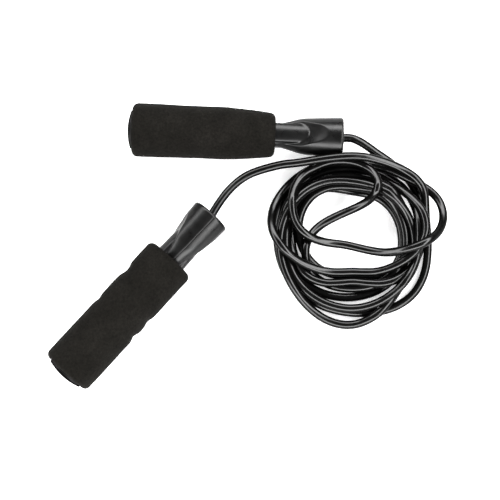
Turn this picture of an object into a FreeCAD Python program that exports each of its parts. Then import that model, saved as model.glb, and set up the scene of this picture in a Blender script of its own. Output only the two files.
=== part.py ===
"""Jump rope: two foam-gripped swivel handles joined by one long, loosely coiled cord.

Millimetres, +Z up. The rope lies on the plane z = 0, and the origin is under the middle
of the box around the two handles.

Each handle is drawn once in its own frame: +X runs out of the head with the cord, x = 0 is
the head's end face, +Y points along the head's two wings and +Z is square to them.
"""
import FreeCAD, Part
import os
from math import cos, pi, radians, sin, tan

Vector = FreeCAD.Vector
Rotation = FreeCAD.Rotation
X_AXIS = Vector(1, 0, 0)

# --- cord -----------------------------------------------------------------------------
CORD_D = 6.0                # outside diameter of the cord
COIL_HEIGHT = 17.0          # height of the piled turns

# --- handle: overall ------------------------------------------------------------------
HANDLE_LENGTH = 152.0       # head's end face to the crown of the end cap
FOAM_D = 37.6               # foam grip outside diameter
CORE_D = 24.0               # plastic core inside the foam
CORE_WALL = 2.5             # wall of the core tube
STEM_WIDTH = 14.2           # flattened neck, across the wings
STEM_TIP_D = 21.6           # the neck's depth at its rounded tip
STEM_TIP = 23.8             # head's end face to the neck's rounded tip
FLAT_START = 60.0           # the neck is fully flattened up to here
FLAT_END = 86.0             # and the core is round beyond here
FIT_GAP = 0.15              # foam and plugs to the plastic core

# --- handle: head ---------------------------------------------------------------------
HEAD_D = 28.4               # round collar that holds the bearing
HEAD_EDGE = 1.2             # rounding of the collar's end edge
WING_OUTLINE = [(-10.0, 0.970), (-20.0, 0.932), (-30.0, 0.870), (-38.0, 0.715), (-50.0, 0.500)]
SCOOP_OUTLINE = [(-7.0, 1.04), (-12.5, 0.940), (-22.0, 0.775), (-34.0, 0.520), (-50.0, 0.230)]
FRONT_WALL = 2.6            # head's end wall, in front of the bearing

# --- foam grip ------------------------------------------------------------------------
FOAM_EDGE = 4.0             # rounding of the foam's ends
FOAM_SQUEEZE = [(0.0, 0.81), (12.0, 0.88), (28.0, 0.96), (60.0, 0.98), (80.0, 1.0)]

# --- end cap --------------------------------------------------------------------------
CAP_CROWN = 3.0             # how far the dome stands behind the core
CAP_D = 26.5
CAP_RIM = 0.9               # thickness at the cap's edge
PLUG_LENGTH = 14.0

# --- swivel bearing, a 608 size -------------------------------------------------------
BEARING_BORE = 8.0
BEARING_D = 22.0
BEARING_WIDTH = 7.0
BALL_D = 3.969
BALL_COUNT = 7
PITCH_D = 15.0              # circle of the ball centres
INNER_LAND_D = 12.1         # inner ring outside
OUTER_LAND_D = 19.0         # outer ring inside
RUNNING_GAP = 0.05          # balls to grooves and cage
SEAT_GAP = 0.02             # pieces pressed on each other
CAGE_WALL = 1.2
CAGE_WIDTH = 5.0
SHIELD_THICKNESS = 0.35
SHIELD_INSET = 0.1
FREE_GAP = 0.3              # turning pieces to still ones

# --- cord anchor ----------------------------------------------------------------------
SLEEVE_NOSE = 0.8           # the sleeve stands this far out of the head
SLEEVE_FLANGE_D = 11.2
SLEEVE_FLANGE = 1.2
WASHER_D = 12.0
WASHER_THICKNESS = 1.0
STOP_D = 9.2                # crimped stop on the cord's end
STOP_LENGTH = 9.0
CORD_TAIL = 1.2             # cord left behind the stop
STOP_CAVITY_D = 13.6
STOP_CAVITY_END = 25.0      # head's end face to the cavity's floor
RIB_D = 18.4                # opening of the rib that traps the bearing
RIB_WIDTH = 1.6
STEM_BORE_D = 9.6
SINK_DEPTH = 0.4            # front wall relief that clears the inner ring

# --- locating pegs between the two core shells ----------------------------------------
PEG_D = 2.8
PEG_HEIGHT = 3.0
PEG_GAP = 0.12
PEG_PLACES = [(-18.0, 9.9), (-29.0, 8.6)]

# --- where the handles lie: head position, heading, roll about the handle's axis -------
HANDLES = {
    "left": {"head": (10.5, 21.4), "heading": 47.8, "roll": 108.0, "neck": 41.9},
    "right": {"head": (102.9, 76.9), "heading": -2.3, "roll": 0.0, "neck": 47.8},
}

# --- the cord's free stretches, from each head to the pile of turns --------------------
AXIS_Z = FOAM_D / 2                       # both handles lie on their foam
CROSSING_Z = AXIS_Z + HEAD_D / 2 + 0.5    # the left stretch passes over the right head
LEFT_ROUTE = [(16.1, 27.7, AXIS_Z), (25.0, 41.0, AXIS_Z - 0.3), (38.5, 52.4, AXIS_Z - 0.8),
              (60.0, 59.0, AXIS_Z + 0.2), (84.0, 61.0, CROSSING_Z - 7.5),
              (102.0, 63.5, CROSSING_Z), (118.0, 63.0, CROSSING_Z - 2.5), (133.0, 60.0, 22.5),
              (147.0, 53.0, 13.5)]
RIGHT_ROUTE = [(110.6, 76.6, AXIS_Z - 0.1), (118.0, 74.1, AXIS_Z - 1.2), (125.0, 69.4, 15.2),
               (132.0, 63.8, 12.0), (141.0, 58.5, 9.0)]

# --- the pile of turns: its outline and the three openings between its strands ---------
COIL_OUTLINE = [(54, 33), (51, 18), (55, -2), (61, -18), (71, -38), (87, -53), (106, -58),
                (125, -53), (143, -46), (156, -31), (161, -7), (174, 12), (177, 27), (171, 41),
                (157, 51), (140, 61), (121, 63), (100, 60), (74, 52)]
COIL_OPENINGS = [
    [(75, 16), (79, 28), (86, 35), (95, 38), (106, 38), (116, 35), (104, 28), (90, 21), (80, 13)],
    [(125, 32), (108, 25), (91, 17), (85, 10), (91, 7), (105, 5), (125, 0), (141, 0), (143, 6),
     (139, 20)],
    [(80, 2), (103, -1), (121, -6), (138, -9), (121, -12), (101, -13), (90, -12)],
]

HEAD_R = HEAD_D / 2
CORE_R = CORE_D / 2
FOAM_R = FOAM_D / 2
CORD_R = CORD_D / 2
BEARING_MID = -(FRONT_WALL + BEARING_WIDTH / 2)
BEARING_BACK = -(FRONT_WALL + BEARING_WIDTH)
FLANGE_BACK = BEARING_BACK - SLEEVE_FLANGE
WASHER_BACK = FLANGE_BACK - WASHER_THICKNESS
STOP_BACK = WASHER_BACK - STOP_LENGTH
CORE_END = -(HANDLE_LENGTH - CAP_CROWN)
CORE_BORE_R = CORE_R - CORE_WALL


def rod(x_low, x_high, radius):
    """A round bar along the handle's axis."""
    return Part.makeCylinder(radius, x_high - x_low, Vector(x_low, 0, 0), X_AXIS)


def ring(x_low, x_high, radius_out, radius_in):
    """A round bar with a bore."""
    return rod(x_low, x_high, radius_out).cut(rod(x_low - 1, x_high + 1, radius_in))


def smooth_edge(points):
    """One smooth curve through the points."""
    curve = Part.BSplineCurve()
    curve.interpolate(points)
    return curve.toShape()


def chain(points):
    """Straight edges from point to point."""
    return [Part.makeLine(a, b) for a, b in zip(points, points[1:])]


def turned(edges):
    """Turn a closed outline in the XZ plane about the handle's axis."""
    return Part.Face(Part.Wire(edges)).revolve(Vector(0, 0, 0), X_AXIS, 360)


# --- head and core --------------------------------------------------------------------

def head_body(gap=0.0):
    """Round collar that tapers back into two wings, scooped out above and below them."""
    radius = HEAD_R + gap
    start = Vector(-HEAD_EDGE, 0, radius)
    corner_mid = Vector(-HEAD_EDGE * (1 - sin(pi / 4)), 0, radius - HEAD_EDGE * (1 - cos(pi / 4)))
    face_rim = Vector(0, 0, radius - HEAD_EDGE)
    tail = [Vector(x, 0, HEAD_R * share + gap) for x, share in WING_OUTLINE]
    outline = [Part.Arc(face_rim, corner_mid, start).toShape(), smooth_edge([start] + tail)]
    outline += chain([tail[-1], Vector(tail[-1].x, 0, 0), Vector(0, 0, 0), face_rim])
    body = turned(outline)

    upper = [Vector(x, -2 * HEAD_R, HEAD_R * share + gap) for x, share in SCOOP_OUTLINE]
    lower = [Vector(p.x, p.y, -p.z) for p in upper]
    front_top = Vector(1, -2 * HEAD_R, upper[0].z)
    front_bottom = Vector(1, -2 * HEAD_R, -upper[0].z)
    sides = [smooth_edge(upper)] + chain([upper[-1], lower[-1]]) + [smooth_edge(lower)]
    sides += chain([lower[0], front_bottom, front_top, upper[0]])
    slab = Part.Face(Part.Wire(sides)).extrude(Vector(0, 4 * HEAD_R, 0))
    return body.common(slab)


def core_envelope(gap=0.0):
    """Outside of the core tube and of the flattened neck that it runs out into."""
    reach = 1.0 if gap else 0.0
    back = CORE_END - reach
    neck_start = -STEM_TIP + gap
    half = STEM_WIDTH / 2 + gap
    radius = CORE_R + gap
    outline = chain([Vector(back, 0, 0), Vector(back, 0, radius), Vector(-FLAT_START, 0, radius),
                     Vector(neck_start, 0, STEM_TIP_D / 2 + gap), Vector(neck_start, 0, 0),
                     Vector(back, 0, 0)])
    bar = turned(outline)

    height = 2 * CORE_D
    tip_centre = neck_start - half
    wide = CORE_R + 2
    left_side = chain([Vector(tip_centre, half, -CORE_D), Vector(-FLAT_START, half, -CORE_D),
                       Vector(-FLAT_END, wide, -CORE_D), Vector(back - 1, wide, -CORE_D)])
    rear = chain([Vector(back - 1, wide, -CORE_D), Vector(back - 1, -wide, -CORE_D)])
    right_side = chain([Vector(back - 1, -wide, -CORE_D), Vector(-FLAT_END, -wide, -CORE_D),
                        Vector(-FLAT_START, -half, -CORE_D), Vector(tip_centre, -half, -CORE_D)])
    tip = Part.Arc(Vector(tip_centre, -half, -CORE_D), Vector(neck_start, 0, -CORE_D),
                   Vector(tip_centre, half, -CORE_D)).toShape()
    plan = Part.Face(Part.Wire(left_side + rear + right_side + [tip]))
    return bar.common(plan.extrude(Vector(0, 0, height)))


def core_cavities():
    """Everything hollow inside the core, turned about the handle's axis."""
    sleeve_hole = rod(-FRONT_WALL - 1, 1, BEARING_BORE / 2 + FREE_GAP)
    sink = rod(-FRONT_WALL - 1, -FRONT_WALL + SINK_DEPTH, PITCH_D / 2 + FREE_GAP)
    pocket = rod(BEARING_BACK, -FRONT_WALL, BEARING_D / 2 + SEAT_GAP)
    rib_hole = rod(BEARING_BACK - RIB_WIDTH, BEARING_BACK, RIB_D / 2)
    stop_room = rod(-STOP_CAVITY_END, BEARING_BACK, STOP_CAVITY_D / 2)
    stem_bore = rod(-FLAT_END, -STOP_CAVITY_END + 1, STEM_BORE_D / 2)
    funnel = turned(chain([Vector(-FLAT_END, 0, 0), Vector(-FLAT_END, 0, CORE_BORE_R),
                           Vector(-FLAT_START, 0, STEM_BORE_D / 2), Vector(-FLAT_START, 0, 0),
                           Vector(-FLAT_END, 0, 0)]))
    tube_bore = rod(CORE_END - 1, -FLAT_END, CORE_BORE_R)
    return [sleeve_hole, sink, pocket, rib_hole, stop_room, stem_bore, funnel, tube_bore]


def core_shells():
    """The plastic core as two mouldings that meet on the plane of the wings."""
    core = head_body().fuse(core_envelope()).removeSplitter()
    for cavity in core_cavities():
        core = core.cut(cavity)
    room = Part.makeBox(2 * HANDLE_LENGTH, 4 * HEAD_R, 2 * HEAD_R,
                        Vector(-1.5 * HANDLE_LENGTH, -2 * HEAD_R, 0))
    upper = core.common(room)
    lower = core.cut(room)
    for x, y in PEG_PLACES:
        for side in (-1, 1):
            foot = Vector(x, side * y, -1)
            lower = lower.fuse(Part.makeCylinder(PEG_D / 2, PEG_HEIGHT + 1, foot))
            socket = Part.makeCylinder(PEG_D / 2 + PEG_GAP, PEG_HEIGHT + 1 + FREE_GAP, foot)
            upper = upper.cut(socket)
    return upper, lower


# --- foam grip and end cap ------------------------------------------------------------

def oval(x, half_y, half_z):
    """An oval section of the foam, square to the axis."""
    circle = Part.Circle(Vector(0, 0, 0), X_AXIS, 1).toShape()
    scale = FreeCAD.Matrix()
    scale.scale(1, half_y, half_z)
    stretched = circle.transformGeometry(scale)
    stretched.translate(Vector(x, 0, 0))
    return Part.Wire(stretched.Edges)


def foam_grip(neck):
    """Foam tube over the core, squeezed oval where the core flattens into the neck."""
    front = -neck
    rear = CORE_END + SEAT_GAP * 10
    sections = []
    for turn in (0, 30, 60, 90):
        inset = FOAM_EDGE * (1 - sin(radians(turn)))
        depth = FOAM_EDGE * (1 - cos(radians(turn)))
        squeeze = FOAM_SQUEEZE[0][1]
        sections.append(oval(front - depth, FOAM_R * squeeze - inset, FOAM_R - inset))
    for depth, squeeze in FOAM_SQUEEZE[1:]:
        sections.append(oval(front - depth, FOAM_R * squeeze, FOAM_R))
    for turn in (90, 60, 30, 0):
        inset = FOAM_EDGE * (1 - sin(radians(turn)))
        depth = FOAM_EDGE * (1 - cos(radians(turn)))
        sections.append(oval(rear + depth, FOAM_R - inset, FOAM_R - inset))
    foam = Part.makeLoft(sections, True, True)
    return foam.cut(core_envelope(FIT_GAP)).cut(head_body(FIT_GAP))


def end_cap():
    """Domed cap whose hollow plug holds the two shells together at the back."""
    radius = CAP_D / 2
    rim_x = CORE_END - CAP_RIM
    crown_x = CORE_END - CAP_CROWN
    rise = CAP_CROWN - CAP_RIM
    dome_radius = (radius ** 2 + rise ** 2) / (2 * rise)
    half_r = radius / 2
    half_x = crown_x + dome_radius - (dome_radius ** 2 - half_r ** 2) ** 0.5
    plug_r = CORE_BORE_R - FIT_GAP
    dome = Part.Arc(Vector(crown_x, 0, 0), Vector(half_x, 0, half_r), Vector(rim_x, 0, radius))
    outline = [dome.toShape()] + chain([Vector(rim_x, 0, radius), Vector(CORE_END, 0, radius),
                                        Vector(CORE_END, 0, plug_r),
                                        Vector(CORE_END + PLUG_LENGTH, 0, plug_r),
                                        Vector(CORE_END + PLUG_LENGTH, 0, 0),
                                        Vector(crown_x, 0, 0)])
    hollow = rod(CORE_END + CORE_WALL, CORE_END + PLUG_LENGTH + 1, plug_r - CORE_WALL)
    return turned(outline).cut(hollow)


# --- swivel bearing -------------------------------------------------------------------

def ball_centres():
    """Centres of the balls, evenly spaced on the pitch circle."""
    steps = [2 * pi * k / BALL_COUNT for k in range(BALL_COUNT)]
    return [Vector(BEARING_MID, PITCH_D / 2 * cos(a), PITCH_D / 2 * sin(a)) for a in steps]


def balls():
    return Part.makeCompound([Part.makeSphere(BALL_D / 2, centre) for centre in ball_centres()])


def race():
    """The channel that the balls run in, taken out of both rings."""
    return Part.makeTorus(PITCH_D / 2, BALL_D / 2 + RUNNING_GAP, Vector(BEARING_MID, 0, 0), X_AXIS)


def inner_ring():
    body = ring(BEARING_BACK, -FRONT_WALL, INNER_LAND_D / 2, BEARING_BORE / 2 + SEAT_GAP)
    return body.cut(race())


def outer_ring():
    return ring(BEARING_BACK, -FRONT_WALL, BEARING_D / 2, OUTER_LAND_D / 2).cut(race())


def cage():
    """Thin ring with a round pocket for each ball."""
    mid = PITCH_D / 2
    body = ring(BEARING_MID - CAGE_WIDTH / 2, BEARING_MID + CAGE_WIDTH / 2,
                mid + CAGE_WALL / 2, mid - CAGE_WALL / 2)
    for centre in ball_centres():
        body = body.cut(Part.makeSphere(BALL_D / 2 + RUNNING_GAP, centre))
    return body


def shields():
    """Two thin discs that close the bearing, held by the outer ring."""
    discs = []
    for x in (-FRONT_WALL - SHIELD_INSET - SHIELD_THICKNESS, BEARING_BACK + SHIELD_INSET):
        discs.append(ring(x, x + SHIELD_THICKNESS, OUTER_LAND_D / 2 - SEAT_GAP,
                          INNER_LAND_D / 2 + FREE_GAP))
    return Part.makeCompound(discs)


# --- cord anchor ----------------------------------------------------------------------

def swivel_sleeve():
    """Flanged sleeve that carries the cord through the bearing."""
    shaft = rod(BEARING_BACK, SLEEVE_NOSE, BEARING_BORE / 2)
    flange = rod(FLANGE_BACK, BEARING_BACK, SLEEVE_FLANGE_D / 2)
    cord_bore = rod(FLANGE_BACK - 1, SLEEVE_NOSE + 1, CORD_R + SEAT_GAP)
    return shaft.fuse(flange).removeSplitter().cut(cord_bore)


def thrust_washer():
    return ring(WASHER_BACK, FLANGE_BACK, WASHER_D / 2, CORD_R + SEAT_GAP)


def cord_stop():
    return ring(STOP_BACK, WASHER_BACK, STOP_D / 2, CORD_R + SEAT_GAP)


def cord_end():
    """The straight end of the cord inside the head."""
    return rod(STOP_BACK - CORD_TAIL, SLEEVE_NOSE, CORD_R)


# --- cord outside the handles ---------------------------------------------------------

def cord_tube(points):
    """A tube along straight runs joined by tangent arcs, as large as the runs allow."""
    edges = []
    radii = []
    length = 0.0
    last = points[0]
    for before, corner, after in zip(points, points[1:], points[2:]):
        way_in = (corner - before).normalize()
        way_out = (after - corner).normalize()
        half_turn = way_in.getAngle(way_out) / 2
        shorter = min((corner - before).Length, (after - corner).Length)
        trim = 0.45 * shorter
        radius = trim / tan(half_turn)
        arc_start = corner - way_in * trim
        arc_end = corner + way_out * trim
        inward = (way_out - way_in).normalize()
        arc_mid = corner + inward * (radius / cos(half_turn) - radius)
        edges.append(Part.LineSegment(last, arc_start).toShape())
        edges.append(Part.Arc(arc_start, arc_mid, arc_end).toShape())
        length += (arc_start - last).Length + 2 * radius * half_turn
        radii.append(radius)
        last = arc_end
    edges.append(Part.LineSegment(last, points[-1]).toShape())
    length += (points[-1] - last).Length
    way = (points[1] - points[0]).normalize()
    section = Part.Wire([Part.Circle(points[0], way, CORD_R).toShape()])
    tube = Part.Wire(edges).makePipeShell([section], True, False)
    share = tube.Volume / (pi * CORD_R ** 2 * length)
    print("cord length %.1f, volume share %.4f" % (length, share))
    print("bend radii", [round(r) for r in radii])
    return tube


def closed_outline(points):
    """A smooth closed outline on the ground through the points."""
    curve = Part.BSplineCurve()
    curve.interpolate([Vector(x, y, 0) for x, y in points], PeriodicFlag=True)
    return Part.Face(Part.Wire([curve.toShape()]))


def cord_coil():
    """Outer shape of the pile of turns, open where its strands leave room."""
    rise = Vector(0, 0, COIL_HEIGHT)
    pile = closed_outline(COIL_OUTLINE).extrude(rise)
    for opening in COIL_OPENINGS:
        pile = pile.cut(closed_outline(opening).extrude(rise))
    return pile


# --- placing and writing --------------------------------------------------------------

def handle_placement(handle):
    """From the handle's own frame to where it lies, resting on its foam."""
    head = Vector(handle["head"][0], handle["head"][1], FOAM_R)
    heading = Rotation(Vector(0, 0, 1), handle["heading"])
    roll = Rotation(X_AXIS, handle["roll"])
    return FreeCAD.Placement(head, heading.multiply(roll))


def write(node, shape):
    solids = shape.Solids
    if not shape.isValid() or not solids:
        raise ValueError("%s is not a valid solid" % node)
    kept = solids[0] if len(solids) == 1 else Part.makeCompound(solids)
    kept.exportStep("parts/%s.step" % node)
    print("%-28s %d solid(s) %10.1f mm3" % (node, len(solids), kept.Volume))


def main():
    os.makedirs("parts", exist_ok=True)
    top_shell, bottom_shell = core_shells()
    pieces = {
        "core_shell_pegged": bottom_shell,
        "core_shell_socketed": top_shell,
        "end_cap": end_cap(),
        "bearing_outer_ring": outer_ring(),
        "bearing_shields": shields(),
        "bearing_inner_ring": inner_ring(),
        "bearing_balls": balls(),
        "bearing_cage": cage(),
        "swivel_sleeve": swivel_sleeve(),
        "thrust_washer": thrust_washer(),
        "cord_stop": cord_stop(),
        "cord_end": cord_end(),
    }
    exits = {}
    for side, handle in HANDLES.items():
        place = handle_placement(handle)
        for name, shape in dict(pieces, foam_grip=foam_grip(handle["neck"])).items():
            placed = shape.copy()
            placed.Placement = place.multiply(placed.Placement)
            write("%s_%s" % (side, name), placed)
        exits[side] = place.multVec(Vector(SLEEVE_NOSE, 0, 0))
    write("left_cord_lead", cord_tube([exits["left"]] + [Vector(*p) for p in LEFT_ROUTE]))
    write("right_cord_lead", cord_tube([exits["right"]] + [Vector(*p) for p in RIGHT_ROUTE]))
    write("cord_coil", cord_coil())


main()
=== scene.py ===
"""A jump rope lying in a loose pile: two foam-gripped handles with bearing heads, and one glossy cord.

The handles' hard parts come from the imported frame.  The cord, the foam grips and the moulded
core halves are modelled here, and every piece and node gets its finish here.
"""

import math

import bmesh
import bpy
import numpy as np
from mathutils import Matrix, Vector


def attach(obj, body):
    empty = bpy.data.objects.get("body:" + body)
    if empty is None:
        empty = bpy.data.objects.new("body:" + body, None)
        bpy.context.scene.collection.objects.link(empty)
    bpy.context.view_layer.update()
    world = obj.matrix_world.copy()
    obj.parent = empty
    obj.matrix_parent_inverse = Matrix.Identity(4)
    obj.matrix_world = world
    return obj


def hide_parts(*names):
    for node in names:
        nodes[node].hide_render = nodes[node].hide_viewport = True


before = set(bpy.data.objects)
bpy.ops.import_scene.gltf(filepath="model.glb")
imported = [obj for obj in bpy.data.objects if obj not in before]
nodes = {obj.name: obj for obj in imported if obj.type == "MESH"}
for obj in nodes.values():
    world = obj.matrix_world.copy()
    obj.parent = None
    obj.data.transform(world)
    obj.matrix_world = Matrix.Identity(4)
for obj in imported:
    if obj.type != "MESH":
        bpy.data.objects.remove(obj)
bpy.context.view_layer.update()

MM = 0.001
MM_PER_METRE = 1000.0
SIDES = ("left", "right")

# --- the handles' places, as in the part: head face, heading, roll, where the foam begins ---
HANDLES = {
    "left": {"head": (10.5, 21.4), "heading": 47.8, "roll": 108.0, "neck": 41.9},
    "right": {"head": (102.9, 76.9), "heading": -2.3, "roll": 0.0, "neck": 47.8},
}
FOAM_R = 18.8
HEAD_R = 14.2
CORD_D = 6.0

# --- the cord's way, in millimetres, from the left head to the right one --------------------
LEFT_ROUTE = [(13.9, 27.4, 18.7), (18.8, 34.8, 18.4), (24.3, 41.4, 18.0), (31.2, 47.6, 17.8),
              (39.8, 52.4, 18.2), (58.4, 57.2, 20.8), (70.0, 57.7, 23.0), (83.8, 59.4, 26.0),
              (95.0, 60.7, 27.8), (104.6, 61.5, 28.0), (113.0, 61.7, 27.0), (121.5, 61.0, 25.5),
              (135.7, 57.8, 21.5), (146.0, 53.8, 18.0), (154.7, 48.2, 15.0), (160.8, 40.2, 12.0)]
RIGHT_ROUTE = [(109.4, 77.0, 18.2), (115.4, 74.6, 16.8), (120.5, 71.7, 15.2), (127.7, 66.9, 12.8),
               (134.9, 62.7, 10.6), (141.5, 57.6, 9.0)]
TOP_LOOP = [(123.8, 59.2), (137.9, 54.5), (152.0, 48.0), (164.6, 41.8), (172.2, 32.8), (174.0, 20.6),
            (169.5, 9.2), (159.5, 0.3), (146.1, -4.3), (132.1, -5.4), (118.1, -1.8), (104.1, 2.1),
            (89.3, 3.1), (76.7, 6.7), (68.7, 15.6), (65.9, 28.5), (68.4, 41.5), (75.6, 52.0),
            (87.0, 58.5), (99.7, 60.7), (112.5, 59.2), (121.6, 54.1), (126.5, 46.5), (126.7, 38.6),
            (121.7, 32.1), (112.1, 27.8), (100.1, 23.5), (88.0, 17.4), (79.5, 8.8), (75.6, -1.5),
            (77.3, -11.4)]
TOP_LOOP_LAYER = ([0, 8, 17, 23, 25, 30], [7.6, 8.2, 8.8, 8.8, 8.0, 4.5])   # at these points of it

# How far each turn of the pile reaches from its middle, at every eighth of a turn.
PILE_MIDDLE = (109.4, 11.3)
CLOCKWISE_START = 45.0       # north-east
CLOCKWISE_REACH = [
    58.0, 53.0, 62.0, 57.0, 56.0, 53.0, 52.5, 45.5,
    49.5, 46.5, 51.5, 55.0, 53.0, 47.0, 44.5, 40.0,
    40.0, 40.5, 44.0, 46.0, 49.5, 50.5, 48.5, 45.5,
    45.0, 51.5, 38.0, 28.5, 38.0, 57.5, 55.5, 48.5]
CLOCKWISE_LAYER = (0.0, 6.0, 2.0, 7.0)
COUNTER_START = -135.0       # south-west
COUNTER_REACH = [
    41.5, 40.0, 42.0, 37.0, 34.0, 32.5, 38.5, 38.0,
    35.0, 31.0, 39.0, 35.5, 33.0, 30.5, 41.5, 42.5,
    45.5, 35.5, 47.5, 43.0, 35.5, 35.0, 42.5, 50.5,
    58.5, 66.5, 50.0, 51.5, 57.0]
COUNTER_LAYER = (4.0, 1.0, 5.0, 3.0)
POINTS_PER_EIGHTH = 3
LEAD_OUT_LAYER = 9.0         # the stretch from the left head lies on top of the pile
LEAD_IN_LAYER = 3.5          # the stretch to the right head leaves it from the middle

# How the pile settles.
SAMPLES_PER_SPAN = 4         # places where clearance is tested, from one control point to the next
BRIDGE_RADIUS = 50.0         # how tightly the cord bends over another strand
HEIGHT_CAP = 33.0
SETTLE_ROUNDS = 200
LIFT_SHARE = 0.7             # how much of the missing height is added in one round


# --- helpers --------------------------------------------------------------------------------
def smooth_steps(values, per_step):
    """Values between the given ones, on a smooth line through them, per_step to each gap."""
    line = np.array(values, float)
    padded = np.concatenate([[2 * line[0] - line[1]], line, [2 * line[-1] - line[-2]]])
    made = []
    for i in range(1, len(padded) - 2):
        a, b, c, d = padded[i - 1:i + 3]
        for step in range(per_step):
            t = step / per_step
            made.append(0.5 * (2 * b + (c - a) * t + (2 * a - 5 * b + 4 * c - d) * t * t
                               + (3 * b - a - 3 * c + d) * t ** 3))
    made.append(line[-1])
    return np.array(made)


def pile_turns(reaches, layers, start, turning):
    """Plan points of the pile's turns and the layer each lies in; turning is +1 or -1."""
    reach = smooth_steps(reaches, POINTS_PER_EIGHTH)
    count = np.arange(len(reach))
    angle = np.radians(start + turning * 45.0 * count / POINTS_PER_EIGHTH)
    plan = np.stack([PILE_MIDDLE[0] + reach * np.cos(angle),
                     PILE_MIDDLE[1] + reach * np.sin(angle)], 1)
    per_turn = 8 * POINTS_PER_EIGHTH
    layer = np.array([layers[min(k // per_turn, len(layers) - 1)] for k in count])
    ease = np.ones(POINTS_PER_EIGHTH * 2 + 1)
    layer = np.convolve(np.pad(layer, POINTS_PER_EIGHTH, mode="edge"), ease / ease.sum(), "valid")
    return plan, layer


def cord_points():
    """The cord's control points in millimetres: plan, height, and its layer in the pile."""
    inside = {}
    for side in SIDES:
        x, y = HANDLES[side]["head"]
        heading = math.radians(HANDLES[side]["heading"])
        inside[side] = [(x - back * math.cos(heading), y - back * math.sin(heading), FOAM_R)
                        for back in (22.0, 14.0, 7.0, 0.0)]
    way_out = inside["left"] + LEFT_ROUTE
    way_in = list(reversed(inside["right"] + RIGHT_ROUTE))
    clockwise, clockwise_layer = pile_turns(CLOCKWISE_REACH, CLOCKWISE_LAYER, CLOCKWISE_START, -1)
    counter, counter_layer = pile_turns(COUNTER_REACH, COUNTER_LAYER, COUNTER_START, 1)
    clockwise, clockwise_layer = clockwise[2:], clockwise_layer[2:]
    loop = np.array(TOP_LOOP)
    loop_layer = np.interp(np.arange(len(loop)), *TOP_LOOP_LAYER)
    plan = np.concatenate([np.array(way_out)[:, :2], clockwise, loop, counter, np.array(way_in)[:, :2]])
    layer = np.concatenate([np.full(len(way_out), LEAD_OUT_LAYER), clockwise_layer, loop_layer, counter_layer,
                            np.full(len(way_in), LEAD_IN_LAYER)])
    height = np.full(len(plan), CORD_D / 2)
    height[:len(way_out)] = np.array(way_out)[:, 2]
    height[-len(way_in):] = np.array(way_in)[:, 2]
    held = np.zeros(len(plan), bool)
    held[:len(way_out) - 2] = True
    held[-(len(way_in) - 2):] = True
    return plan, height, layer, held


def crossing_order(first, second, order):
    """For each overlapping pair of places, whether the first lies on top, alike all along one crossing."""
    pair_at = {pair: k for k, pair in enumerate(zip(first.tolist(), second.tolist()))}
    parent = list(range(len(first)))

    def root(k):
        while parent[k] != k:
            parent[k] = parent[parent[k]]
            k = parent[k]
        return k

    for (i, j), k in pair_at.items():
        for neighbour in ((i - 1, j), (i - 1, j - 1), (i - 1, j + 1), (i, j - 1)):
            if neighbour in pair_at:
                parent[root(k)] = root(pair_at[neighbour])
    group = np.array([root(k) for k in range(len(parent))])
    lead = np.bincount(group, order[first] - order[second], minlength=len(parent))
    return lead[group] > 0


def settle(plan, height, layer, held):
    """Raises the points so that the cord lies on the floor and over what it crosses."""
    count = len(plan)
    t = (np.arange(SAMPLES_PER_SPAN) + 0.5) / SAMPLES_PER_SPAN
    weights = np.stack([0.5 * (1 - t) ** 2, 0.5 * (1 + 2 * t - 2 * t * t), 0.5 * t * t], 1)
    centre = np.repeat(np.arange(1, count - 1), SAMPLES_PER_SPAN)
    share = np.tile(weights, (count - 2, 1))

    def dense(values):
        return sum(share[:, i] * values[centre - 1 + i] for i in range(3))

    x, y, order = dense(plan[:, 0]), dense(plan[:, 1]), dense(layer)
    run = np.concatenate([[0], np.cumsum(np.hypot(np.diff(x), np.diff(y)))])
    gap = np.hypot(x[:, None] - x[None], y[:, None] - y[None])
    near = (gap < CORD_D) & (run[None] - run[:, None] > 5 * CORD_D)
    first, second = np.nonzero(near)
    upper = np.where(crossing_order(first, second, order), first, second)
    lower = first + second - upper
    need = np.sqrt(CORD_D ** 2 - gap[first, second] ** 2)
    step = np.hypot(*np.diff(plan, axis=0).T)
    spacing = (step[1:] + step[:-1]) / 2
    droop = spacing ** 2 / (2 * BRIDGE_RADIUS)
    free = ~held
    for _ in range(SETTLE_ROUNDS):
        z = dense(height)
        short = np.zeros(len(z))
        np.maximum.at(short, upper, z[lower] + need - z[upper])
        lift = np.zeros(count)
        np.maximum.at(lift, centre, short)
        height[free] += LIFT_SHARE * lift[free]
        middle = (height[2:] + height[:-2]) / 2 - droop
        bridged = height.copy()
        bridged[1:-1] = np.maximum(height[1:-1], middle)
        height[free] = np.minimum(bridged[free], HEIGHT_CAP)
    return height


def make_cord():
    """The cord: one smooth line from head to head, with all its turns."""
    plan, height, layer, held = cord_points()
    height = settle(plan, height, layer, held)
    curve = bpy.data.curves.new("cord", "CURVE")
    curve.dimensions = "3D"
    spline = curve.splines.new("NURBS")
    spline.points.add(len(plan) - 1)
    for point, (px, py), pz in zip(spline.points, plan, height):
        point.co = (px * MM, py * MM, pz * MM, 1.0)
    spline.order_u = 3
    spline.use_endpoint_u = True
    spline.resolution_u = 8
    curve.bevel_depth = CORD_D / 2 * MM
    curve.bevel_resolution = 8
    curve.use_fill_caps = True
    cord = bpy.data.objects.new("cord", curve)
    bpy.context.scene.collection.objects.link(cord)
    return cord


# --- finishes -------------------------------------------------------------------------------
def new_finish(name, colour, roughness, **sockets):
    """A plain principled finish; the other sockets are set by their names."""
    material = bpy.data.materials.new(name)
    material.use_nodes = True
    shader = material.node_tree.nodes["Principled BSDF"]
    shader.inputs["Base Color"].default_value = (*colour, 1)
    shader.inputs["Roughness"].default_value = roughness
    for socket, value in sockets.items():
        shader.inputs[socket.replace("_", " ")].default_value = value
    return material, material.node_tree, shader


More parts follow.
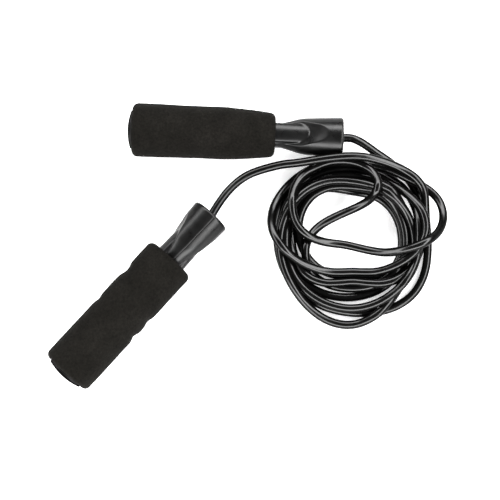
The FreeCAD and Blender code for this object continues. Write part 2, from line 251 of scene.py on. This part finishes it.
def add_node(tree, kind, **values):
    """A node of that kind, with its sockets or its own settings given by name."""
    node = tree.nodes.new(kind)
    for name, value in values.items():
        socket = node.inputs.get(name.replace("_", " "))
        if socket is not None:
            socket.default_value = value
        else:
            setattr(node, name, value)
    return node


def noise_on(tree, size_mm, detail=4.0, rough=0.55, bend=0.0):
    """Noise with features of that size, on the piece's own coordinates."""
    place = add_node(tree, "ShaderNodeTexCoord")
    noise = add_node(tree, "ShaderNodeTexNoise", Scale=MM_PER_METRE / size_mm, Detail=detail,
                     Roughness=rough, Distortion=bend)
    tree.links.new(place.outputs["Object"], noise.inputs["Vector"])
    return noise.outputs["Fac"]


def spread(tree, source, low, high, start=0.3, end=0.7):
    """The source's middle range, drawn out between two values."""
    ranged = add_node(tree, "ShaderNodeMapRange", From_Min=start, From_Max=end, To_Min=low, To_Max=high)
    tree.links.new(source, ranged.inputs["Value"])
    return ranged.outputs["Result"]


def tint(tree, source, dark, light):
    """A colour between dark and light, led by the source."""
    mix = add_node(tree, "ShaderNodeMix", data_type="RGBA")
    mix.inputs[6].default_value = (*dark, 1)
    mix.inputs[7].default_value = (*light, 1)
    tree.links.new(source, mix.inputs[0])
    return mix.outputs[2]


def raise_by(tree, shader, layers):
    """Bump from several height sources, each with its own depth in millimetres."""
    before = None
    for source, depth_mm in layers:
        bump = add_node(tree, "ShaderNodeBump", Strength=1.0, Distance=depth_mm * MM)
        tree.links.new(source, bump.inputs["Height"])
        if before is not None:
            tree.links.new(before, bump.inputs["Normal"])
        before = bump.outputs["Normal"]
    tree.links.new(before, shader.inputs["Normal"])


def painted_edge_shade(tree, shader, full, least, start, end):
    """Lessens the mirror share of a surface seen edge-on, painting shade along its edges where it would
    reflect the bright floor.
    """
    turned = add_node(tree, "ShaderNodeLayerWeight")
    faded = spread(tree, turned.outputs["Facing"], full, least, start, end)
    tree.links.new(faded, shader.inputs["Specular IOR Level"])


def foam_finish():
    """Closed-cell foam: fully matte, a fine open skin of cells, and faint scuffed patches."""
    material, tree, shader = new_finish("grip_foam", (0.003, 0.0028, 0.0025), 0.95, Specular_IOR_Level=0.05)
    cells = add_node(tree, "ShaderNodeTexVoronoi", feature="SMOOTH_F1", Scale=MM_PER_METRE / 0.55,
                     Smoothness=0.7)
    tree.links.new(add_node(tree, "ShaderNodeTexCoord").outputs["Object"], cells.inputs["Vector"])
    grain = noise_on(tree, 1.7, 5.0, 0.75)
    scuffs = noise_on(tree, 16.0, 3.0, 0.6)
    blotch = tint(tree, spread(tree, scuffs, 0.0, 1.0, 0.35, 0.7), (0.0048, 0.0044, 0.0037),
                  (0.0071, 0.0065, 0.0056))
    speck = add_node(tree, "ShaderNodeMix", data_type="RGBA", blend_type="MULTIPLY")
    speck.inputs[0].default_value = 1.0
    tree.links.new(blotch, speck.inputs[6])
    tree.links.new(tint(tree, spread(tree, grain, 0.0, 1.0, 0.3, 0.72), (0.5, 0.5, 0.5), (1.55, 1.55, 1.53)),
                   speck.inputs[7])
    tree.links.new(speck.outputs[2], shader.inputs["Base Color"])
    raise_by(tree, shader, [(scuffs, 0.25), (grain, 0.22), (cells.outputs["Distance"], 0.12)])
    return material


def core_finish():
    """Moulded black plastic with a semi-gloss skin, flow marks and handling haze, and painted shade along its
    edges.
    """
    material, tree, shader = new_finish("core_plastic", (0.004, 0.004, 0.0041), 0.26, IOR=1.49)
    haze = noise_on(tree, 9.0, 5.0, 0.6, bend=0.8)
    skin = noise_on(tree, 0.35, 3.0, 0.6)
    tree.links.new(spread(tree, haze, 0.25, 0.36), shader.inputs["Roughness"])
    # painted shade: the mirror share is lessened where the surface is seen edge-on
    painted_edge_shade(tree, shader, 0.36, 0.06, 0.15, 0.5)
    black = tint(tree, spread(tree, haze, 0.0, 1.0), (0.0016, 0.0016, 0.0016), (0.0028, 0.0027, 0.0026))
    tree.links.new(black, shader.inputs["Base Color"])
    raise_by(tree, shader, [(haze, 0.012), (skin, 0.004)])
    return material


def cord_finish():
    """Soft vinyl cord: deep black and glossy, with faint drag marks and dust in places, and its reflection
    lessened at the edges as painted shade.
    """
    material, tree, shader = new_finish("cord_vinyl", (0.003, 0.003, 0.003), 0.14, IOR=1.5)
    drag = noise_on(tree, 6.0, 4.0, 0.6, bend=0.5)
    dust = noise_on(tree, 0.8, 2.0, 0.5)
    tree.links.new(spread(tree, drag, 0.13, 0.24), shader.inputs["Roughness"])
    tree.links.new(tint(tree, spread(tree, dust, 0.0, 1.0, 0.45, 0.8), (0.0016, 0.0016, 0.0015),
                        (0.0030, 0.0030, 0.0028)), shader.inputs["Base Color"])
    # painted shade: the mirror share is lessened where the cord is seen edge-on
    painted_edge_shade(tree, shader, 0.4, 0.02, 0.14, 0.38)
    raise_by(tree, shader, [(drag, 0.02), (dust, 0.002)])
    return material


def metal_finish(name, dark, light, rough_low, rough_high, grain_mm, grain_depth):
    """A machined or pressed metal with its grain and small changes of colour."""
    material, tree, shader = new_finish(name, light, rough_low, Metallic=1.0)
    grain = noise_on(tree, grain_mm, 5.0, 0.65)
    wear = noise_on(tree, 2.5, 3.0, 0.5)
    tree.links.new(spread(tree, grain, rough_low, rough_high), shader.inputs["Roughness"])
    tree.links.new(tint(tree, spread(tree, wear, 0.0, 1.0), dark, light), shader.inputs["Base Color"])
    raise_by(tree, shader, [(grain, grain_depth)])
    return material


def cap_finish():
    """The end caps' plain moulding: the core's black with a duller, finely eroded face, and painted shade
    along its edges.
    """
    material, tree, shader = new_finish("cap_plastic", (0.003, 0.003, 0.003), 0.5, Specular_IOR_Level=0.18)
    skin = noise_on(tree, 0.5, 3.0, 0.6)
    tree.links.new(spread(tree, noise_on(tree, 5.0), 0.42, 0.58), shader.inputs["Roughness"])
    # painted shade: the mirror share is lessened where the face is seen edge-on
    painted_edge_shade(tree, shader, 0.2, 0.0, 0.15, 0.55)
    raise_by(tree, shader, [(skin, 0.01)])
    return material


def nylon_finish():
    """The swivel sleeve's satin nylon, slightly waxy."""
    material, tree, shader = new_finish("sleeve_nylon", (0.014, 0.014, 0.014), 0.42)
    mottle = noise_on(tree, 1.6, 4.0, 0.6)
    tree.links.new(spread(tree, mottle, 0.36, 0.5), shader.inputs["Roughness"])
    tree.links.new(tint(tree, spread(tree, mottle, 0.0, 1.0), (0.011, 0.011, 0.011), (0.018, 0.018, 0.017)),
                   shader.inputs["Base Color"])
    raise_by(tree, shader, [(mottle, 0.01)])
    return material


finishes = {
    "foam": foam_finish(),
    "core": core_finish(),
    "cap": cap_finish(),
    "cord": cord_finish(),
    "sleeve": nylon_finish(),
    "ring": metal_finish("bearing_steel", (0.46, 0.46, 0.47), (0.6, 0.6, 0.61), 0.18, 0.32, 0.4, 0.002),
    "ball": metal_finish("ball_steel", (0.66, 0.66, 0.68), (0.72, 0.72, 0.74), 0.05, 0.1, 1.2, 0.0005),
    "shield": metal_finish("shield_steel", (0.38, 0.38, 0.39), (0.5, 0.5, 0.51), 0.3, 0.45, 0.25, 0.003),
    "cage": metal_finish("cage_brass", (0.6, 0.42, 0.18), (0.74, 0.55, 0.27), 0.25, 0.4, 0.5, 0.002),
    "washer": metal_finish("washer_steel", (0.5, 0.5, 0.48), (0.66, 0.66, 0.65), 0.28, 0.45, 0.6, 0.003),
    "stop": metal_finish("stop_alloy", (0.66, 0.66, 0.67), (0.78, 0.78, 0.79), 0.3, 0.5, 0.3, 0.004),
}
NODE_FINISH = {
    "end_cap": "cap", "bearing_outer_ring": "ring", "bearing_shields": "shield",
    "bearing_inner_ring": "ring", "bearing_balls": "ball", "bearing_cage": "cage",
    "swivel_sleeve": "sleeve", "thrust_washer": "washer", "cord_stop": "stop",
    "core_shell_pegged": "core", "core_shell_socketed": "core", "foam_grip": "foam",
    "cord_lead": "cord", "cord_end": "cord",
}


def finish_nodes():
    """Gives every node of the frame its finish."""
    for name, node in nodes.items():
        part = name.split("_", 1)[1] if name.split("_", 1)[0] in SIDES else "cord_end"
        node.data.materials.clear()
        node.data.materials.append(finishes[NODE_FINISH[part]])


# --- the moulded core: a collar with two wings, run out of a flattened neck -----------------
HEAD_EDGE = 1.8
WING_OUTLINE = [(-50.0, 0.500), (-38.0, 0.715), (-30.0, 0.870), (-20.0, 0.932), (-10.0, 0.970), (-1.8, 1.0)]
SCOOP_OUTLINE = [(-50.0, 0.230), (-34.0, 0.520), (-22.0, 0.775), (-12.5, 0.940), (-7.0, 1.04), (0.0, 1.3)]
HEAD_END = -50.0
CORE_R = 12.0
CORE_END = -149.0
STEM_HALF = 7.1
STEM_TIP = -23.8
STEM_TIP_R = 10.8
FLAT_START = -60.0
FLAT_END = -86.0
# The core's hollow: where each stretch begins, counted back from the head's face, and its radius.
CORE_HOLLOW = [(0.0, 4.3), (-2.2, 7.8), (-2.6, 11.02), (-9.6, 9.2), (-11.2, 6.8), (-25.0, 4.8)]
CORE_BORE_R = 9.5
PARTING_GROOVE = 0.16
SEARCH_START = 1.0           # nearest the axis where the core's surface is looked for
SEARCH_REACH = 16.0
HALVINGS = 26


def flowing(x, outline):
    """The outline's value at x, on a smooth line through its points."""
    places, values = np.array(outline).T
    slopes = np.gradient(values, places)
    x = np.clip(x, places[0], places[-1])
    k = np.clip(np.searchsorted(places, x) - 1, 0, len(places) - 2)
    span = places[k + 1] - places[k]
    t = (x - places[k]) / span
    return ((1 + 2 * t) * (1 - t) ** 2 * values[k] + t * (1 - t) ** 2 * span * slopes[k]
            + t * t * (3 - 2 * t) * values[k + 1] - t * t * (1 - t) * span * slopes[k + 1])


def soft_max(a, b, width):
    """The greater of two, rounded over that width where they meet."""
    h = np.clip(0.5 + 0.5 * (a - b) / width, 0, 1)
    return b + (a - b) * h + width * h * (1 - h)


def core_outside(x, y, z):
    """Below zero inside the core, about the distance from its surface in millimetres outside."""
    round_r = np.hypot(y, z)
    into_edge = np.clip(x + HEAD_EDGE, 0, HEAD_EDGE)
    end_drop = HEAD_EDGE - np.sqrt(np.clip(HEAD_EDGE ** 2 - into_edge ** 2, 0, None))
    collar = HEAD_R * flowing(x, WING_OUTLINE) - end_drop
    dish = 0.9 * np.exp(-((x + 17.5) / 5.0) ** 2 - (y / 6.5) ** 2)
    scoop = HEAD_R * flowing(x, SCOOP_OUTLINE) - dish
    head = soft_max(round_r - collar, np.abs(z) - scoop, 0.22) + 10 * np.clip(HEAD_END - x, 0, None)
    depth = np.interp(x, [FLAT_START, STEM_TIP], [CORE_R, STEM_TIP_R])
    half = np.interp(x, [FLAT_END, FLAT_START], [CORE_R + 2, STEM_HALF])
    past_tip = np.clip(x - (STEM_TIP - STEM_HALF), 0, None)
    sides = np.hypot(y, past_tip) - half
    stem = soft_max(round_r - depth, sides, 1.3)
    return -soft_max(-head, -stem, 0.9)


def core_surface(x, angle, gap=0.0):
    """How far the core's surface is from the axis, at each place along it and angle round it."""
    low = np.full(np.broadcast(x, angle).shape, SEARCH_START)
    high = low + SEARCH_REACH
    for _ in range(HALVINGS):
        middle = (low + high) / 2
        inside = core_outside(x, middle * np.cos(angle), middle * np.sin(angle)) < gap
        low = np.where(inside, middle, low)
        high = np.where(inside, high, middle)
    return (low + high) / 2


def hollow_radius(x):
    """The radius of the core's hollow at x."""
    radius = np.full(x.shape, CORE_HOLLOW[0][1])
    for start, value in CORE_HOLLOW:
        radius = np.where(x < start, value, radius)
    widening = np.interp(x, [FLAT_END, FLAT_START], [CORE_BORE_R, CORE_HOLLOW[-1][1]])
    return np.where(x < FLAT_START, widening, radius)


def core_stations():
    """Places along the core: close at the worked head, wide along the plain tube."""
    edge = -HEAD_EDGE * (1 - np.sin(np.linspace(math.pi / 2, 0, 7)))
    head = np.linspace(-HEAD_EDGE, HEAD_END, 141)[1:]
    tube = np.concatenate([np.linspace(HEAD_END, FLAT_START, 8)[1:], np.linspace(FLAT_START, FLAT_END, 8)[1:],
                           np.linspace(FLAT_END, CORE_END, 6)[1:]])
    steps = np.array([[start + 0.004, start - 0.004] for start, _ in CORE_HOLLOW[1:]]).ravel()
    return np.unique(np.concatenate([edge, head, tube, steps]))[::-1]


def handle_place(side):
    """From the handle's own frame, its axis along X, to where it lies."""
    place = HANDLES[side]
    x, y = place["head"]
    return (Matrix.Translation((x * MM, y * MM, FOAM_R * MM))
            @ Matrix.Rotation(math.radians(place["heading"]), 4, "Z")
            @ Matrix.Rotation(math.radians(place["roll"]), 4, "X") @ Matrix.Scale(MM, 4))


def solid_from(name, points, faces, place, sharp_degrees):
    """A closed mesh piece from points in millimetres, its faces turned outwards."""
    mesh = bpy.data.meshes.new(name)
    mesh.from_pydata(points.tolist(), [], faces.tolist())
    mesh.transform(place)
    made = bmesh.new()
    made.from_mesh(mesh)
    bmesh.ops.recalc_face_normals(made, faces=made.faces)
    made.to_mesh(mesh)
    made.free()
    mesh.shade_smooth()
    mesh.set_sharp_from_angle(angle=math.radians(sharp_degrees))
    piece = bpy.data.objects.new(name, mesh)
    bpy.context.scene.collection.objects.link(piece)
    return piece


def quads(index):
    """The four-cornered faces of a grid of point numbers."""
    return np.stack([index[:-1, :-1], index[1:, :-1], index[1:, 1:], index[:-1, 1:]], -1).reshape(-1, 4)


def wall_points(x, angle, radii):
    """The points of a wall's surfaces, one surface after the other, each from its radii."""
    surfaces = [np.stack([np.broadcast_to(x, r.shape), r * np.cos(angle), r * np.sin(angle)], -1)
                for r in radii]
    return np.concatenate([surface.reshape(-1, 3) for surface in surfaces])


def core_shell(side, node, upper):
    """One moulded half of the core, with its hollow and the small bevel of its parting edge."""
    x = core_stations()[:, None]
    first = 0.0 if upper else math.pi
    angle = first + np.linspace(0.0006, math.pi - 0.0006, 121)[None]
    outer = core_surface(x, angle)
    outer[:, [0, -1]] -= PARTING_GROOVE
    inner = np.broadcast_to(hollow_radius(x), outer.shape)
    points = wall_points(x, angle, (outer, inner))
    rows, columns = outer.shape
    outside = np.arange(rows * columns).reshape(rows, columns)
    inside = outside + rows * columns
    faces = [quads(outside), quads(inside)]
    for edge in (0, -1):
        faces.append(quads(np.stack([outside[edge], inside[edge]])))
        faces.append(quads(np.stack([outside[:, edge], inside[:, edge]])))
    shell = solid_from(f"{side}_core_{'top' if upper else 'bottom'}", points, np.concatenate(faces),
                       handle_place(side), 38)
    shell.data.materials.append(finishes["core"])
    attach(shell, f"{side}_handle")
    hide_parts(f"{side}_{node}")


# --- the foam grips -------------------------------------------------------------------------
FOAM_EDGE = 4.0
FOAM_SQUEEZE = [(0.0, 0.81), (12.0, 0.88), (28.0, 0.96), (60.0, 0.98), (80.0, 1.0), (120.0, 1.0)]
FOAM_GAP = 0.15
FOAM_REAR = -148.8
# Presses left in the foam: distance from the head's face, angle round, depth, and how long and wide.
FOAM_DENTS = {
    "left": [(68, 252, 2.0, 4.5, 30), (96, 250, 1.3, 3.0, 24), (85, 72, 1.4, 3.4, 24),
             (99, 74, 1.7, 3.0, 24), (55, 20, 0.8, 6.0, 30), (74, 330, 0.7, 8.0, 40)],
    "right": [(60, 95, 0.6, 7.0, 40), (74, 60, 0.4, 5.0, 30), (112, 100, 0.3, 9.0, 60)],
}


def foam_body(side):
    """The grip's tube: oval towards the neck, rounded ends, pressed dents, and a bore that fits the core."""
    front = -HANDLES[side]["neck"]
    bend = np.radians(np.linspace(0, 90, 9))
    rounding = np.stack([FOAM_EDGE * (1 - np.cos(bend)), FOAM_EDGE * (1 - np.sin(bend))], 1)
    body = np.linspace(front - FOAM_EDGE, FOAM_REAR + FOAM_EDGE, 170)
    x = np.concatenate([front - rounding[:, 0], body[1:-1], FOAM_REAR + rounding[::-1, 0]])
    inset = np.concatenate([rounding[:, 1], np.zeros(len(body) - 2), rounding[::-1, 1]])
    around = np.linspace(0, 2 * math.pi, 176, endpoint=False)
    across = (FOAM_R * flowing(front - x, FOAM_SQUEEZE) - inset)[:, None]
    through = (FOAM_R - inset)[:, None]
    outer = 1 / np.sqrt((np.cos(around) / across) ** 2 + (np.sin(around) / through) ** 2)
    for place, turned, depth, long, wide in FOAM_DENTS[side]:
        off_angle = (np.degrees(around) - turned + 180) % 360 - 180
        outer -= depth * np.exp(-((x[:, None] + place) / long) ** 2 - (off_angle / wide) ** 2)
    inner = core_surface(x[:, None], around[None], FOAM_GAP)
    points = wall_points(x[:, None], around, (outer, inner))
    rows, columns = outer.shape
    index = np.arange(rows * columns).reshape(rows, columns)
    index = np.concatenate([index, index[:, :1]], 1)
    inside = index + rows * columns
    faces = [quads(index), quads(inside)]
    faces += [quads(np.stack([index[edge], inside[edge]])) for edge in (0, -1)]
    grip = solid_from(f"{side}_grip", points, np.concatenate(faces), handle_place(side), 60)
    skin = grip.data.attributes.new("skin", "FLOAT", "POINT")
    skin.data.foreach_set("value", np.repeat([1.0, 0.0], rows * columns).astype(np.float32))
    return grip


def foam_skin_tree():
    """Geometry nodes that roughen the grip's skin: coarse lumps and a fine grain of cells."""
    tree = bpy.data.node_groups.new("foam_skin", "GeometryNodeTree")
    sockets = tree.interface
    sockets.new_socket("Geometry", in_out="INPUT", socket_type="NodeSocketGeometry")
    for name, value in (("Lump Size", 9.0), ("Lump Depth", 0.22), ("Grain Size", 1.5), ("Grain Depth", 0.16)):
        socket = sockets.new_socket(name, in_out="INPUT", socket_type="NodeSocketFloat")
        socket.default_value = value
    sockets.new_socket("Seed", in_out="INPUT", socket_type="NodeSocketFloat").default_value = 3.0
    sockets.new_socket("Finish", in_out="INPUT", socket_type="NodeSocketMaterial")
    sockets.new_socket("Geometry", in_out="OUTPUT", socket_type="NodeSocketGeometry")
    given = tree.nodes.new("NodeGroupInput")
    result = tree.nodes.new("NodeGroupOutput")

    def maths(operation, a, b):
        """The result of a math node; a and b are numbers or other nodes' outputs."""
        node = tree.nodes.new("ShaderNodeMath")
        node.operation = operation
        for socket, value in zip(node.inputs, (a, b)):
            if isinstance(value, float):
                socket.default_value = value
            else:
                tree.links.new(value, socket)
        return node.outputs[0]

    def roughness(size, depth):
        """Noise of the named size, drawn out to the named depth either way."""
        noise = tree.nodes.new("ShaderNodeTexNoise")
        noise.noise_dimensions = "4D"
        tree.links.new(maths("DIVIDE", MM_PER_METRE, given.outputs[size]), noise.inputs["Scale"])
        tree.links.new(given.outputs["Seed"], noise.inputs["W"])
        centred = maths("SUBTRACT", noise.outputs["Fac"], 0.5)
        return maths("MULTIPLY", centred, maths("MULTIPLY", given.outputs[depth], 2 * MM))

    skin = tree.nodes.new("GeometryNodeInputNamedAttribute")
    skin.data_type = "FLOAT"
    skin.inputs["Name"].default_value = "skin"
    height = maths("ADD", roughness("Lump Size", "Lump Depth"), roughness("Grain Size", "Grain Depth"))
    height = maths("MULTIPLY", height, skin.outputs["Attribute"])
    offset = tree.nodes.new("ShaderNodeVectorMath")
    offset.operation = "SCALE"
    tree.links.new(tree.nodes.new("GeometryNodeInputNormal").outputs[0], offset.inputs[0])
    tree.links.new(height, offset.inputs["Scale"])
    move = tree.nodes.new("GeometryNodeSetPosition")
    tree.links.new(given.outputs["Geometry"], move.inputs["Geometry"])
    tree.links.new(offset.outputs[0], move.inputs["Offset"])
    realize = tree.nodes.new("GeometryNodeRealizeInstances")
    tree.links.new(move.outputs[0], realize.inputs[0])
    paint = tree.nodes.new("GeometryNodeSetMaterial")
    tree.links.new(realize.outputs[0], paint.inputs["Geometry"])
    tree.links.new(given.outputs["Finish"], paint.inputs["Material"])
    tree.links.new(paint.outputs[0], result.inputs[0])
    return tree


def with_nodes(piece, tree, **values):
    """The piece's mesh after the tree has worked on it, with the tree's named inputs set."""
    modifier = piece.modifiers.new(tree.name, "NODES")
    modifier.node_group = tree
    for item in tree.interface.items_tree:
        if item.in_out == "INPUT" and item.name.replace(" ", "_") in values:
            modifier[item.identifier] = values[item.name.replace(" ", "_")]
    evaluated = piece.evaluated_get(bpy.context.evaluated_depsgraph_get())
    mesh = bpy.data.meshes.new_from_object(evaluated)
    piece.modifiers.remove(modifier)
    piece.data = mesh
    return piece


def make_grip(side, tree):
    """A handle's foam grip."""
    grip = with_nodes(foam_body(side), tree, Finish=finishes["foam"], Seed=3.0 if side == "left" else 8.0)
    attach(grip, f"{side}_handle")
    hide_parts(f"{side}_foam_grip")


# --- building everything --------------------------------------------------------------------
finish_nodes()
cord = make_cord()
cord.data.materials.append(finishes["cord"])
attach(cord, "rope")
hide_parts("cord_coil", "left_cord_lead", "right_cord_lead", "left_cord_end", "right_cord_end")

foam_skin = foam_skin_tree()
for side in SIDES:
    core_shell(side, "core_shell_socketed", True)
    core_shell(side, "core_shell_pegged", False)
    make_grip(side, foam_skin)


# --- floor, light and camera ----------------------------------------------------------------
FLOOR_GLOW = 0.45
TENT_GLOW = 0.08
CAMERA_LENS = 103.3
CAMERA_TILT = 9.3            # degrees from straight down, towards the south
CAMERA_TARGET = (37.35, -3.33, 18.9)


def area_light(name, place, aim, size, watts):
    """A rectangular lamp at a place, facing its aim."""
    light = bpy.data.lights.new(name, "AREA")
    light.shape = "RECTANGLE"
    light.size, light.size_y = size
    light.energy = watts
    lamp = bpy.data.objects.new(name, light)
    lamp.location = place
    lamp.rotation_euler = (Vector(aim) - Vector(place)).to_track_quat("-Z", "Y").to_euler()
    bpy.context.scene.collection.objects.link(lamp)


def make_stage():
    """A pale floor, a light tent round the object, and the camera above it."""
    bpy.ops.mesh.primitive_plane_add(size=6.0, location=(0.06, 0.0, 0.0))
    floor = bpy.context.object
    floor.name = "floor"
    finish, _, shader = new_finish("floor_paper", (0.9, 0.9, 0.9), 0.8)
    shader.inputs["Emission Color"].default_value = (1, 1, 1, 1)
    shader.inputs["Emission Strength"].default_value = FLOOR_GLOW
    floor.data.materials.append(finish)

    middle = (0.06, 0.0, 0.02)
    for name, turned, away, height, size, watts in (
            ("north_panel", 90, 0.78, 0.64, (1.4, 0.44), 19.0),
            ("south_panel", -90, 0.75, 0.46, (1.5, 0.34), 18.0),
            ("west_panel", 180, 0.80, 0.52, (1.4, 0.24), 10.0),
            ("east_panel", 0, 0.66, 0.76, (1.4, 0.36), 17.0)):
        bearing = math.radians(turned)
        place = (middle[0] + math.cos(bearing) * away, middle[1] + math.sin(bearing) * away, height)
        area_light(name, place, middle, size, watts)

    world = bpy.data.worlds.new("light_tent")
    world.use_nodes = True
    bpy.context.scene.world = world
    world.node_tree.nodes["Background"].inputs["Color"].default_value = (1, 1, 1, 1)
    world.node_tree.nodes["Background"].inputs["Strength"].default_value = TENT_GLOW

    lens = bpy.data.cameras.new("camera")
    lens.lens = CAMERA_LENS
    lens.sensor_width = 36.0
    camera = bpy.data.objects.new("camera", lens)
    tilt = math.radians(CAMERA_TILT)
    target = Vector(CAMERA_TARGET) * MM
    camera.location = target + Vector((0, -math.sin(tilt), math.cos(tilt)))
    camera.rotation_euler = (tilt, 0, 0)
    bpy.context.scene.collection.objects.link(camera)
    bpy.context.scene.camera = camera
    bpy.context.scene.view_settings.view_transform = "Standard"


make_stage()
